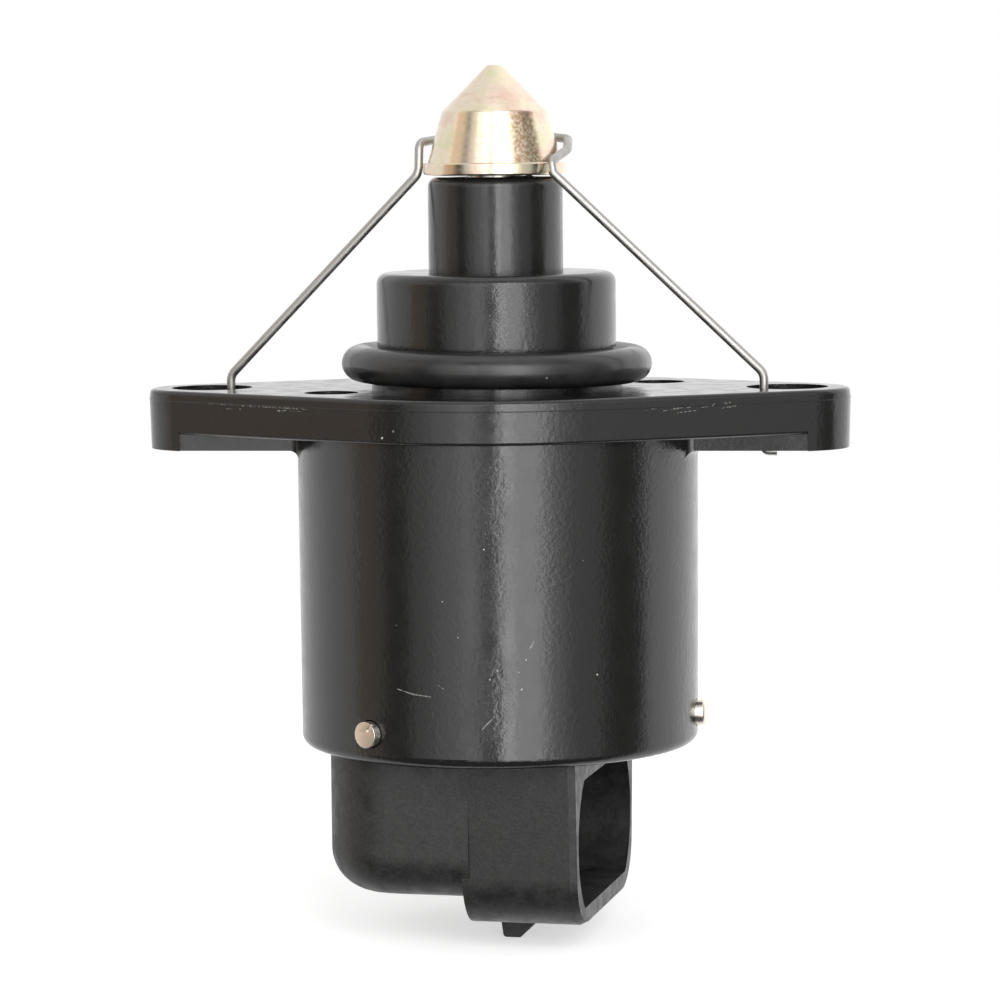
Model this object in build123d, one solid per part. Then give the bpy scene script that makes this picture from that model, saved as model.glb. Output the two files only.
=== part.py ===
from build123d import *
import os
from math import asin, cos, degrees, radians, sin, sqrt, tan

# Idle air control valve with its cone fully drawn in.
# Millimetres. The origin is on the valve's axis, in the flange's mating face.
# +X runs along the flange's long axis and +Z points towards the cone.

# Flange
hole_spacing = 50.0
hole_r = 3.5
ear_wall = 1.93
flange_lip = 0.6
plate_thickness = 3.7
ear_drop = 1.45
tip_length = 3.45
web_wall = 1.1
parting_drop = 0.88
upper_draft = 5.0
lower_draft = 1.5
flange_top_round = 0.4
flange_under_round = 0.3
web_root_round = 0.8
recess_r = 2.3
recess_depth = 2.6
recess_x = 13.4
recess_y = 6.8

# Round body, nose step and neck
body_r = 17.3
body_taper = 0.12
body_wall = 2.0
rim_round = 0.9
step_r = 10.3
step_height = 9.95
step_round = 0.9
land_width = 0.5
land_height = 0.45
neck_r = 5.8
neck_height = 8.15
neck_round = 0.8
neck_wall = 2.1
relief_width = 0.6
relief_depth = 0.25
relief_below_ring = 0.13
top_wall = 4.6

# Rubber ring round the nose step
ring_section_r = 1.52
ring_stretch_gap = 0.03
ring_tilt = 0.6
ring_rest_gap = 0.02

# Cone
cone_gap = 0.17
cone_rim_r = 6.15
cone_rim_height = 1.05
cone_base_r = 5.8
cone_mid_r = 4.5
cone_skirt_height = 4.4
cone_tip_angle = 45.0
cone_tip_r = 0.55
cone_socket_depth = 5.0
travel = 8.0

# Lead screw and its guide
thread_r = 2.0
shank_r = 2.4
shank_flat = 1.9
stem_r = 1.5
nut_overlap = 1.0
guide_height = 3.0
guide_key_width = 1.2
guide_key_height = 0.6
guide_floor = 0.35
shank_hole_gap = 0.5
roof_thickness = 2.2
thread_relief = 0.5

# Spring under the cone
spring_wire_r = 0.3
spring_turns = 5
spring_side_gap = 0.35

# Front ball bearing and its dished washer
bearing_bore_r = 4.0
bearing_r = 8.0
bearing_width = 5.0
bearing_race = 1.1
ball_r = 1.15
ball_count = 8
ball_gap = 0.05
cage_wall = 0.9
cage_web = 0.6
washer_height = 0.6
washer_thickness = 0.3
chamber_r = 6.4

# Rotor
hub_r = 4.5
hub_collar = 1.1
hub_collar_height = 0.4
magnet_r = 6.6
magnet_top_gap = 1.4
hub_nose = 0.6
nut_length = 8.0
hub_relief = 0.5
tail_r = 3.0
tail_length = 4.6
air_gap = 0.3

# Stator halves, bobbins and coils
cup_thickness = 0.9
plate_steel = 0.8
winding_height = 7.9
claw_thickness = 0.7
claw_root_width = 3.0
claw_tip_width = 1.8
claw_end_gap = 1.2
claw_count = 6
bobbin_wall = 0.6
bobbin_flange = 0.7
coil_margin = 1.0
block_width = 2.8
block_end_wall = 0.55
block_drop = 2.1

# Cap inside the body, its seal and the cross pins
seal_section_r = 0.72
seal_drop = 1.8
groove_side_gap = 0.08
pin_wall = 0.6
pin_r = 1.1
pin_rise = 2.6
pin_length = 5.4
pin_stand_out = 0.8
pin_chamfer = 0.35
pin_count = 3
pin_turn = -2.4
cap_proud = 0.25
bush_wall = 1.0
bush_length = 3.9
bush_flange = 1.0
bush_flange_height = 0.6
washer_steel = 0.4
tail_floor = 1.0

# Plug socket below the cap, in a frame turned about the axis
connector_turn = 6.5
rim_clearance = 0.1
elbow_length = 13.4
elbow_half = 12.3
elbow_drop = 12.2
elbow_side_round = 6.2
elbow_edge_round = 3.8
shroud_start = 0.65
shroud_mouth = 9.25
shroud_half = 12.5
shroud_lean = 3.5
shroud_drop = 14.6
shroud_corner = 4.8
mouth_chamfer = 0.3
mouth_chamfer_depth = 0.6
socket_back_wall = 1.2
socket_top_wall = 1.85
socket_bottom_wall = 1.65
socket_side_wall = 1.45
socket_bulge = 2.45
socket_corner = 1.0
seat_depth = 3.5
seat_half_width = 10.2
seat_half_height = 3.4
ramp_start = 0.7
ramp_flat = 1.5
ramp_height = 2.35
ramp_half = 2.5
ramp_lean = 0.4

# Terminals
terminal_pitch = 5.0
terminal_count = 4
terminal_thickness = 0.8
blade_width = 2.8
blade_recess = 4.9
blade_shoulder = 1.5
leg_width = 1.5
leg_reach = 9.5
leg_bend = 1.0
leg_in_block = 1.4
blade_tip_chamfer = 0.3

# Wire clip over the cone
wire_r = 0.38
clip_side_gap = 0.1
clip_over_gap = -0.2
clip_side_drop = 0.9
clip_back_rise = 2.2
clip_knee_rise = 0.15
clip_knee_drop = 0.85
clip_left_foot_angle = 67.0
clip_right_foot_angle = 232.0
clip_left_bend = 0.9
clip_right_bend = 1.3
clip_left_foot = 4.3
clip_right_foot = 5.3
clip_toe = 1.1

# Clearances
seat_gap = 0.02
running_gap = 0.05
stator_gap = 0.1
bobbin_gap = 0.1
plug_gap = 0.08
pin_gap = 0.02
pin_bore_gap = 0.1

# Heights and radii worked out from the sizes above
hole_x = hole_spacing / 2
ear_r = hole_r + ear_wall
flange_mid_r = body_r + flange_lip
ear_depth = plate_thickness + ear_drop
tip_x = hole_x + ear_r
pocket_end_x = tip_x - tip_length
web_half = hole_r + web_wall
body_low_r = body_r - body_taper
bore_r = body_low_r - body_wall
neck_top = step_height + neck_height
neck_bore_r = neck_r - neck_wall
land_r = step_r + land_width
ring_mid_r = step_r + ring_stretch_gap + ring_section_r
ring_lean = ring_mid_r * sin(radians(ring_tilt))
ring_z = land_height + ring_section_r + ring_lean + ring_rest_gap
relief_top = ring_z + ring_section_r - relief_below_ring

bore_top = -top_wall
bearing_top = bore_top + bearing_width
pocket_top = bearing_top + washer_height
guide_low = step_height - guide_floor
guide_top = guide_low + guide_height
chamber_top = guide_low - roof_thickness

cone_low = neck_top + cone_gap
cone_rim_top = cone_low + cone_rim_height
cone_mid_z = cone_rim_top + cone_skirt_height
spring_mid_r = neck_bore_r - spring_side_gap - spring_wire_r

ball_path_r = (bearing_bore_r + bearing_r) / 2
ball_z = bore_top + bearing_width / 2

stack_height = 2 * (cup_thickness + winding_height + plate_steel)
stack_low = bore_top - stack_height
cup_r = bore_r - stator_gap
claw_in_r = magnet_r + air_gap
claw_out_r = claw_in_r + claw_thickness
middle_z = bore_top - stack_height / 2
magnet_top = bore_top - magnet_top_gap
magnet_low = stack_low + magnet_top_gap - air_gap + hub_collar_height
shoulder_z = stack_low + air_gap + running_gap

seal_z = stack_low - seal_drop
groove_half = seal_section_r + groove_side_gap
pin_z = seal_z - groove_half - pin_wall - pin_r
rim_z = pin_z - pin_rise
plug_r = bore_r - plug_gap
seal_mid_r = bore_r - seal_section_r
groove_floor_r = seal_mid_r - seal_section_r - seat_gap
cap_low = rim_z - cap_proud

bush_r = tail_r + bush_wall
bush_top = shoulder_z - running_gap - washer_steel
bush_seat = bush_top - bush_flange_height
bush_low = bush_seat - bush_length
tail_low = shoulder_z - tail_length

screw_low = bore_top - cup_thickness - travel - nut_length - nut_overlap + 0.5
nut_low = screw_low + travel + nut_overlap
nut_top = nut_low + nut_length
thread_top = bearing_top + hub_nose + thread_relief

socket_top = rim_z - rim_clearance - socket_top_wall
socket_low = rim_z - shroud_drop + socket_bottom_wall
socket_mid = (socket_top + socket_low) / 2
socket_back = socket_back_wall - shroud_start
seat_back = socket_back - seat_depth
blade_tip = shroud_mouth - blade_recess
blade_back = seat_back - blade_shoulder
block_low = stack_low + cup_thickness - block_drop
leg_top = block_low + leg_in_block

connector_frame = Rot(0, 0, -connector_turn)


def disc(radius, low, high):
    """Solid round bar about the axis between two heights."""
    bar = Cylinder(radius, high - low, align=(Align.CENTER, Align.CENTER, Align.MIN))
    return Pos(0, 0, low) * bar


def ring(outer, inner, low, high):
    """Plain ring about the axis between two heights."""
    return disc(outer, low, high) - disc(inner, low - 1, high + 1)


def block(x_low, x_high, y_low, y_high, z_low, z_high):
    """Box between six faces."""
    box = Box(x_high - x_low, y_high - y_low, z_high - z_low, align=(Align.MIN,) * 3)
    return Pos(x_low, y_low, z_low) * box


def turned(points, rounds=()):
    """Solid of revolution through (radius, height) points, with some corners rounded."""
    profile = make_face(Polyline(*points, close=True))
    for corner, radius in rounds:
        vertex = profile.vertices().sort_by_distance(corner)[0]
        profile = fillet(vertex, radius)
    return revolve(Plane.XZ * profile, Axis.Z)


def around(shape, count, start=0.0):
    """Copies of one shape at even steps about the axis."""
    return [Rot(0, 0, start + 360 / count * i) * shape for i in range(count)]


def flange_outline():
    """Rhombic outline: a middle circle and two ear circles with their common tangents."""
    slope = asin((flange_mid_r - ear_r) / hole_x)
    mid = (flange_mid_r * sin(slope), flange_mid_r * cos(slope))
    ear = (hole_x + ear_r * sin(slope), ear_r * cos(slope))
    corners = [(mid[0], -mid[1]), (ear[0], -ear[1]), ear, mid]
    corners += [(-x, -y) for x, y in corners]
    outline = make_face(Polyline(*corners, close=True)) + Circle(flange_mid_r)
    outline += Pos(hole_x, 0) * Circle(ear_r)
    outline += Pos(-hole_x, 0) * Circle(ear_r)
    return outline


def flange():
    """Flange plate parted near its top, with full-depth tips and a web under each ear."""
    outline = Pos(0, 0, -parting_drop) * flange_outline()
    upper = extrude(outline, parting_drop, dir=(0, 0, 1), taper=upper_draft)
    top_edges = upper.faces().sort_by(Axis.Z)[-1].edges()
    upper = fillet(top_edges, flange_top_round)
    lower_height = ear_depth - parting_drop
    lower = extrude(outline, lower_height, dir=(0, 0, -1), taper=lower_draft)
    under = block(-pocket_end_x, pocket_end_x, -body_r * 2, body_r * 2, -ear_depth - 1, -plate_thickness)
    web = block(-pocket_end_x - 1, pocket_end_x + 1, -web_half, web_half, -ear_depth, -plate_thickness)
    return upper + (lower - (under - web))


def housing():
    """Flange, round body, nose step and neck, moulded as one piece."""
    body = turned(
        [(0, rim_z), (body_low_r, rim_z), (body_r, -plate_thickness), (body_r, -parting_drop), (0, -parting_drop)],
        [((body_low_r, rim_z), rim_round)],
    )
    nose = turned(
        [
            (0, -parting_drop),
            (land_r, -parting_drop),
            (land_r, land_height),
            (step_r, land_height),
            (step_r, relief_top - relief_width),
            (step_r - relief_depth, relief_top - relief_width),
            (step_r - relief_depth, relief_top),
            (step_r, relief_top),
            (step_r, step_height),
            (neck_r, step_height),
            (neck_r, neck_top),
            (0, neck_top),
        ],
        [((step_r, step_height), step_round), ((neck_r, neck_top), neck_round)],
    )
    shell = flange() + body
    roots = [
        edge
        for edge in shell.edges()
        if -ear_depth - 0.01 < edge.center().Z < -plate_thickness - 0.1
        and abs(sqrt(edge.center().X ** 2 + edge.center().Y ** 2) - body_r) < 0.3
    ]
    shell = fillet(roots, web_root_round)
    under_edges = [
        edge
        for edge in shell.edges()
        if abs(edge.center().Z + plate_thickness) < 0.01
        and edge.geom_type == GeomType.CIRCLE
        and edge.radius > body_r + flange_lip / 4
    ]
    shell = fillet(under_edges, flange_under_round)
    shell += nose
    cavity = turned(
        [
            (0, rim_z - 1),
            (bore_r, rim_z - 1),
            (bore_r, bore_top),
            (bearing_r + seat_gap, bore_top),
            (bearing_r + seat_gap, pocket_top),
            (chamber_r, pocket_top),
            (chamber_r, chamber_top),
            (shank_r + shank_hole_gap, chamber_top),
            (shank_r + shank_hole_gap, guide_low),
            (neck_bore_r, guide_low),
            (neck_bore_r, neck_top + 1),
            (0, neck_top + 1),
        ]
    )
    keyway_half = guide_key_width / 2 + seat_gap
    keyway_r = neck_bore_r + guide_key_height
    keyway = block(-keyway_half, keyway_half, 0, keyway_r, guide_low, neck_top + 1)
    shell -= cavity + keyway
    for side in (-1, 1):
        shell -= Pos(side * hole_x, 0) * disc(hole_r, -ear_depth - 1, 1)
        shell -= Pos(side * recess_x, side * recess_y) * disc(recess_r, -recess_depth, 1)
    cross_hole = Pos(bore_r - 1, 0, pin_z) * Rot(0, 90, 0) * Cylinder(
        pin_r + pin_bore_gap, body_wall + 4, align=(Align.CENTER, Align.CENTER, Align.MIN)
    )
    return shell - around(cross_hole, pin_count, pin_turn)


def seal_ring():
    """Rubber ring stretched round the nose step."""
    return Pos(0, 0, ring_z) * Rot(0, ring_tilt, 0) * Torus(ring_mid_r, ring_section_r)


def pintle():
    """Steel cone with a rim at its base and a blind socket for the lead screw."""
    lean = tan(radians(cone_tip_angle))
    tip_z = cone_mid_z + (cone_mid_r - cone_tip_r) / lean
    cone = turned(
        [
            (0, cone_low),
            (cone_rim_r, cone_low),
            (cone_rim_r, cone_rim_top),
            (cone_base_r, cone_rim_top),
            (cone_mid_r, cone_mid_z),
            (cone_tip_r, tip_z),
            (0, tip_z),
        ],
        [((cone_tip_r, tip_z), cone_tip_r), ((cone_rim_r, cone_low), 0.2), ((cone_rim_r, cone_rim_top), 0.12)],
    )
    return cone - disc(stem_r + seat_gap, cone_low - 1, cone_low + cone_socket_depth)


def lead_screw():
    """Screw, flatted shank and the stem that is pressed into the cone."""
    thread = disc(thread_r, screw_low, thread_top)
    shank = disc(shank_r, thread_top, cone_low - seat_gap)
    guide_travel_top = guide_top + travel + nut_overlap
    flat_top = min(guide_travel_top, cone_low - 1.5)
    for side in (-1, 1):
        x_faces = sorted((side * shank_flat, side * (shank_r + 1)))
        shank -= block(x_faces[0], x_faces[1], -shank_r, shank_r, thread_top - 1, flat_top)
    stem = disc(stem_r, cone_low - 1, cone_low + cone_socket_depth - 0.2)
    screw = thread + shank + stem
    return chamfer(screw.faces().sort_by(Axis.Z)[0].edges(), 0.4)


def guide_bush():
    """Keyed bush with a flatted bore that lets the shank slide but not turn."""
    bush = disc(neck_bore_r - seat_gap, guide_low, guide_top)
    key_half = guide_key_width / 2
    key_r = neck_bore_r + guide_key_height - seat_gap
    bush += block(-key_half, key_half, neck_bore_r / 2, key_r, guide_low, guide_top)
    opening = disc(shank_r + running_gap, guide_low - 1, guide_top + 1)
    flat = shank_flat + running_gap
    opening &= block(-flat, flat, -shank_r - 1, shank_r + 1, guide_low - 1, guide_top + 1)
    return bush - opening


def pintle_spring():
    """Compression spring between the guide bush and the cone."""
    low = guide_top + spring_wire_r + seat_gap
    high = cone_low - spring_wire_r - seat_gap
    height = high - low
    path = Helix(height / spring_turns, height, spring_mid_r, center=(0, 0, low))
    section = Plane(origin=path @ 0, z_dir=path % 0) * Circle(spring_wire_r)
    return sweep(section, path=path, is_frenet=True)


def bearing_outer_ring():
    """Outer race of the front bearing."""
    race = ring(bearing_r, bearing_r - bearing_race, bore_top, bearing_top)
    return race - Pos(0, 0, ball_z) * Torus(ball_path_r, ball_r + ball_gap)


def bearing_inner_ring():
    """Inner race of the front bearing."""
    inner = bearing_bore_r + seat_gap
    race = ring(bearing_bore_r + bearing_race, inner, bore_top, bearing_top)
    return race - Pos(0, 0, ball_z) * Torus(ball_path_r, ball_r + ball_gap)


def bearing_balls():
    """The bearing's balls."""
    return around(Pos(ball_path_r, 0, ball_z) * Sphere(ball_r), ball_count)


def bearing_cage():
    """Crown cage, open towards the cone, that spaces the balls."""
    low = ball_z - ball_r - cage_web
    high = ball_z + ball_r / 3
    crown = ring(ball_path_r + cage_wall / 2, ball_path_r - cage_wall / 2, low, high)
    pocket = Pos(ball_path_r, 0, ball_z) * Sphere(ball_r + ball_gap)
    return crown - around(pocket, ball_count)


def preload_washer():
    """Dished spring washer that loads the bearing's outer race."""
    outer = bearing_r - 0.15
    inner = bearing_r - bearing_race
    low = bearing_top + seat_gap
    high = pocket_top - seat_gap
    return turned(
        [
            (inner, high - washer_thickness),
            (outer, low),
            (outer, low + washer_thickness),
            (inner, high),
        ]
    )


def rotor_hub():
    """Moulded rotor core: bearing journal, nut bore, magnet seat and tail journal."""
    nose_top = bearing_top + hub_nose
    core = turned(
        [
            (0, tail_low),
            (tail_r, tail_low),
            (tail_r, shoulder_z),
            (hub_r, shoulder_z),
            (hub_r + hub_collar, shoulder_z),
            (hub_r + hub_collar, magnet_low),
            (hub_r, magnet_low),
            (hub_r, bore_top),
            (bearing_bore_r, bore_top),
            (bearing_bore_r, nose_top),
            (0, nose_top),
        ]
    )
    core -= disc(thread_r + hub_relief, nut_top, nose_top + 1)
    core -= disc(thread_r + running_gap, nut_low - 1, nut_top + 1)
    return core - disc(thread_r + hub_relief, tail_low - 1, nut_low)


def rotor_magnet():
    """Ring magnet carried on the hub."""
    return ring(magnet_r, hub_r + seat_gap, magnet_low, magnet_top)


def claws(root_z, tip_z, start):
    """Tapered pole claws standing round the rotor."""
    half_root = claw_root_width / 2
    half_tip = claw_tip_width / 2
    corners = [(-half_root, root_z), (half_root, root_z), (half_tip, tip_z), (-half_tip, tip_z)]
    claw = extrude(Plane.YZ * make_face(Polyline(*corners, close=True)), claw_out_r + 1)
    shell = ring(claw_out_r, claw_in_r, min(root_z, tip_z), max(root_z, tip_z))
    return around(claw & shell, claw_count, start)


def stator_half(outer_z, direction, start):
    """Outer cup and inner plate of one stator half; direction is +1 when the cup opens downwards."""
    d = -direction
    cup_floor = outer_z + d * cup_thickness
    plate_face = cup_floor + d * winding_height
    plate_back = plate_face + d * plate_steel
    levels = sorted((outer_z, cup_floor))
    cup = ring(cup_r, claw_in_r, levels[0], levels[1])
    levels = sorted((outer_z, plate_face))
    cup += ring(cup_r, cup_r - cup_thickness, levels[0], levels[1])
    cup += claws(outer_z, plate_face - d * claw_end_gap, start)
    levels = sorted((plate_face, plate_back))
    plate = ring(cup_r, claw_in_r, levels[0], levels[1])
    half_step = 180 / claw_count
    plate += claws(plate_back, cup_floor + d * claw_end_gap, start + half_step)
    return cup, plate


def bobbin(low, high):
    """Insulating spool between a cup's floor and its plate."""
    inner = claw_out_r + bobbin_gap
    outer = cup_r - cup_thickness - bobbin_gap
    spool = ring(inner + bobbin_wall, inner, low, high)
    spool += ring(outer, inner, low, low + bobbin_flange)
    spool += ring(outer, inner, high - bobbin_flange, high)
    return spool


def coil(low, high):
    """Copper winding on one bobbin."""
    inner = claw_out_r + bobbin_gap + bobbin_wall + seat_gap
    outer = cup_r - cup_thickness - bobbin_gap - coil_margin
    return ring(outer, inner, low + bobbin_flange + seat_gap, high - bobbin_flange - seat_gap)


def terminal_block_half():
    """Half of the terminal block's length across the row of terminals."""
    return terminal_pitch * (terminal_count - 1) / 2 + leg_width / 2 + block_end_wall


def block_box(grow, low, high):
    """Terminal block between two heights, with its sides moved out by grow."""
    half_x = block_width / 2 + grow
    half_y = terminal_block_half() + grow
    return block(-leg_reach - half_x, -leg_reach + half_x, -half_y, half_y, low, high)


def terminal(row_y, grow):
    """One bent terminal: blade, narrower tail, bend and leg, with its faces moved out by grow."""
    half_t = terminal_thickness / 2 + grow
    half_blade = blade_width / 2 + grow
    half_leg = leg_width / 2 + grow
    blade = block(blade_back - grow, blade_tip + grow, -half_blade, half_blade, -half_t, half_t)
    if grow == 0:
        blade = chamfer(blade.faces().sort_by(Axis.X)[-1].edges(), blade_tip_chamfer)
    path = FilletPolyline(
        (blade_back + 1, 0, 0),
        (-leg_reach, 0, 0),
        (-leg_reach, 0, leg_top + grow - socket_mid),
        radius=leg_bend,
    )
    section = Plane(origin=path @ 0, z_dir=path % 0) * Rectangle(2 * half_t, 2 * half_leg)
    tail = sweep(section, path=path)
    return Pos(0, row_y, socket_mid) * (blade + tail)


def terminal_rows():
    """Row positions of the terminals."""
    return [terminal_pitch * (i - (terminal_count - 1) / 2) for i in range(terminal_count)]


def socket_opening():
    """Opening of the plug socket with its sides bulged outwards, and a shallow seat behind it."""
    half_mid = shroud_half - socket_side_wall
    half_end = half_mid - socket_bulge
    outline = [
        Line((-half_end, socket_low), (half_end, socket_low)),
        ThreePointArc((half_end, socket_low), (half_mid, socket_mid), (half_end, socket_top)),
        Line((half_end, socket_top), (-half_end, socket_top)),
        ThreePointArc((-half_end, socket_top), (-half_mid, socket_mid), (-half_end, socket_low)),
    ]
    face = make_face(outline)
    face = fillet(face.vertices(), socket_corner)
    opening = Pos(socket_back, 0, 0) * extrude(Plane.YZ * face, shroud_mouth - socket_back + 1)
    seat_low = socket_mid - seat_half_height
    seat_high = socket_mid + seat_half_height
    seat = block(seat_back, socket_back + 1, -seat_half_width, seat_half_width, seat_low, seat_high)
    return opening + fillet(seat.edges().filter_by(Axis.X), socket_corner)


def shroud():
    """Outer form of the plug socket: sides leaning in, rounded below, chamfered at the mouth."""
    top = rim_z - rim_clearance
    low = rim_z - shroud_drop
    low_half = shroud_half - (top - low) * tan(radians(shroud_lean))
    section = make_face(
        Polyline((-shroud_half, top), (-low_half, low), (low_half, low), (shroud_half, top), close=True)
    )
    section = fillet(section.vertices().group_by(Axis.Y)[0], shroud_corner)
    form = extrude(Plane.YZ * section, shroud_mouth + shroud_start, dir=(1, 0, 0))
    form = Pos(-shroud_start, 0, 0) * form
    mouth = form.faces().sort_by(Axis.X)[-1]
    mouth_edges = [edge for edge in mouth.edges() if edge.center().Z < top - 0.01]
    return chamfer(mouth_edges, mouth_chamfer, mouth_chamfer_depth, reference=mouth)


def connector_cap():
    """Cap inside the body with its elbow, plug socket and lock ramp, moulded as one piece."""
    top = rim_z - rim_clearance
    plug = disc(plug_r, cap_low, stack_low)
    plug -= ring(plug_r + 1, groove_floor_r, seal_z - groove_half, seal_z + groove_half)
    elbow_low = rim_z - elbow_drop
    elbow = block(-elbow_length, 0, -elbow_half, elbow_half, elbow_low, top)
    side_edges = elbow.edges().filter_by(Axis.Z).group_by(Axis.X)[0]
    elbow = fillet(side_edges, elbow_side_round)
    low_edges = [edge for edge in elbow.faces().sort_by(Axis.Z)[0].edges() if edge.center().X < -0.01]
    elbow = fillet(low_edges, elbow_edge_round)
    shroud_low = rim_z - shroud_drop
    ramp_low = shroud_low - ramp_height
    ramp_profile = [
        (ramp_start - ramp_lean, shroud_low + 0.5),
        (ramp_start, ramp_low),
        (ramp_start + ramp_flat, ramp_low),
        (ramp_start + ramp_flat + ramp_height + 0.5, shroud_low + 0.5),
    ]
    ramp_face = Plane.XZ * make_face(Polyline(*ramp_profile, close=True))
    ramp = extrude(ramp_face, ramp_half, both=True)
    ramp = fillet(ramp.faces().sort_by(Axis.Z)[0].edges().filter_by(Axis.Y), 0.3)
    cap = plug + elbow + shroud() + ramp - socket_opening()
    cap -= block_box(seat_gap, block_low - seat_gap, stack_low + 1)
    cap -= disc(bush_r + bush_flange + seat_gap, bush_seat, stack_low + 1)
    cap -= disc(bush_r + seat_gap, bush_low, bush_seat + 1)
    cap -= disc(tail_r + pin_bore_gap, tail_low - tail_floor, bush_low + 1)
    for row_y in terminal_rows():
        cap -= terminal(row_y, seat_gap)
    cap = connector_frame * cap
    pin_low = body_low_r + pin_stand_out - pin_length - seat_gap
    pin_hole = Pos(pin_low, 0, pin_z) * Rot(0, 90, 0) * Cylinder(
        pin_r + pin_gap, pin_length, align=(Align.CENTER, Align.CENTER, Align.MIN)
    )
    return cap - around(pin_hole, pin_count, pin_turn)


def cap_seal():
    """Rubber ring in the cap's groove."""
    return Pos(0, 0, seal_z) * Torus(seal_mid_r, seal_section_r)


def retaining_pins():
    """Cross pins through the body's wall into the cap."""
    low = body_low_r + pin_stand_out - pin_length
    pin = Cylinder(pin_r, pin_length, align=(Align.CENTER, Align.CENTER, Align.MIN))
    pin = chamfer(pin.edges().filter_by(GeomType.CIRCLE), pin_chamfer)
    return around(Pos(low, 0, pin_z) * Rot(0, 90, 0) * pin, pin_count, pin_turn)


def rear_bush():
    """Flanged plain bush in the cap for the rotor's tail."""
    bush = ring(bush_r, tail_r + running_gap, bush_low, bush_top)
    return bush + ring(bush_r + bush_flange, tail_r + running_gap, bush_seat, bush_top)


def thrust_washer():
    """Flat washer between the rear bush and the rotor's shoulder."""
    return ring(bush_r + bush_flange / 2, tail_r + pin_bore_gap, bush_top, bush_top + washer_steel)


def polar(radius, angle, height):
    """Point at a radius, an angle from +X and a height."""
    return (radius * cos(radians(angle)), radius * sin(radians(angle)), height)


def wire_clip():
    """One piece of spring wire: feet in the flange holes, legs up to the cone and a loop behind it."""
    foot_r = hole_r - wire_r - clip_side_gap
    left_x, left_y, _ = polar(foot_r, clip_left_foot_angle, 0)
    right_x, right_y, _ = polar(foot_r, clip_right_foot_angle, 0)
    side_r = cone_rim_r + wire_r + clip_side_gap
    over_r = side_r + clip_over_gap
    over_z = cone_rim_top + clip_back_rise
    points = [
        (left_x - hole_x, left_y, -clip_left_foot),
        (left_x - hole_x, left_y, clip_left_bend),
        polar(side_r, 180, cone_rim_top - clip_side_drop),
        polar(side_r + 0.05, 174, over_z - 0.45),
        polar(over_r, 135, over_z - 0.05),
        polar(over_r, 95, over_z + 0.05),
        polar(over_r, 55, over_z),
        polar(over_r, 17, over_z - 0.25),
        polar(over_r + 0.1, -12, over_z - 1.15),
        polar(side_r + 0.1, -38, cone_rim_top + clip_knee_rise),
        polar(side_r + 0.4, -39, cone_rim_top - clip_knee_drop),
        (right_x + hole_x, right_y, clip_right_bend),
        (right_x + hole_x, right_y, -clip_right_foot),
        (right_x + hole_x + clip_toe, right_y, -clip_right_foot - 0.05),
    ]
    radii = [1.2, 1.3, 0.8, 2.0, 3.0, 3.0, 2.0, 1.5, 0.5, 0.45, 1.3, 0.45]
    path = FilletPolyline(*points, radius=radii)
    section = Plane(origin=path @ 0, z_dir=path % 0) * Circle(wire_r)
    return sweep(section, path=path)


def save(name, shape):
    """Write one node, as one solid or as a group of separate solids."""
    solids = list(shape) if isinstance(shape, list) else [shape]
    solids = [solid for part in solids for solid in part.solids()]
    whole = solids[0] if len(solids) == 1 else Compound(children=solids)
    whole.label = name
    export_step(whole, f"parts/{name}.step")


os.makedirs("parts", exist_ok=True)

save("housing", housing())
save("seal_ring", seal_ring())
save("pintle", pintle())
save("lead_screw", lead_screw())
save("guide_bush", guide_bush())
save("pintle_spring", pintle_spring())
save("bearing_outer_ring", bearing_outer_ring())
save("bearing_inner_ring", bearing_inner_ring())
save("bearing_balls", bearing_balls())
save("bearing_cage", bearing_cage())
save("preload_washer", preload_washer())
save("rotor_hub", rotor_hub())
save("rotor_magnet", rotor_magnet())

upper_cup, upper_plate = stator_half(bore_top, 1, 0)
lower_cup, lower_plate = stator_half(stack_low, -1, 90 / claw_count)
lower_cup -= block_box(2 * seat_gap, stack_low - 1, stack_low + cup_thickness + seat_gap)
lower_bobbin = bobbin(stack_low + cup_thickness, middle_z - plate_steel)
lower_bobbin += block_box(0, block_low, stack_low + cup_thickness + bobbin_flange / 2)
for row_y in terminal_rows():
    lower_bobbin -= terminal(row_y, seat_gap)

save("upper_stator_cup", connector_frame * upper_cup)
save("upper_stator_plate", connector_frame * upper_plate)
save("lower_stator_plate", connector_frame * lower_plate)
save("lower_stator_cup", connector_frame * lower_cup)
save("upper_bobbin", bobbin(middle_z + plate_steel, bore_top - cup_thickness))
save("lower_bobbin", connector_frame * lower_bobbin)
save("upper_coil", coil(middle_z + plate_steel, bore_top - cup_thickness))
save("lower_coil", coil(stack_low + cup_thickness, middle_z - plate_steel))

for number, row_y in enumerate(terminal_rows(), start=1):
    save(f"terminal_{number}", connector_frame * terminal(row_y, 0))

save("connector_cap", connector_cap())
save("cap_seal", cap_seal())
save("retaining_pins", retaining_pins())
save("rear_bush", rear_bush())
save("thrust_washer", thrust_washer())
save("wire_clip", wire_clip())
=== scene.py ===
from math import asin, cos, degrees, pi, radians, sin, sqrt, tan

import bpy
from mathutils import Matrix, Vector


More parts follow.
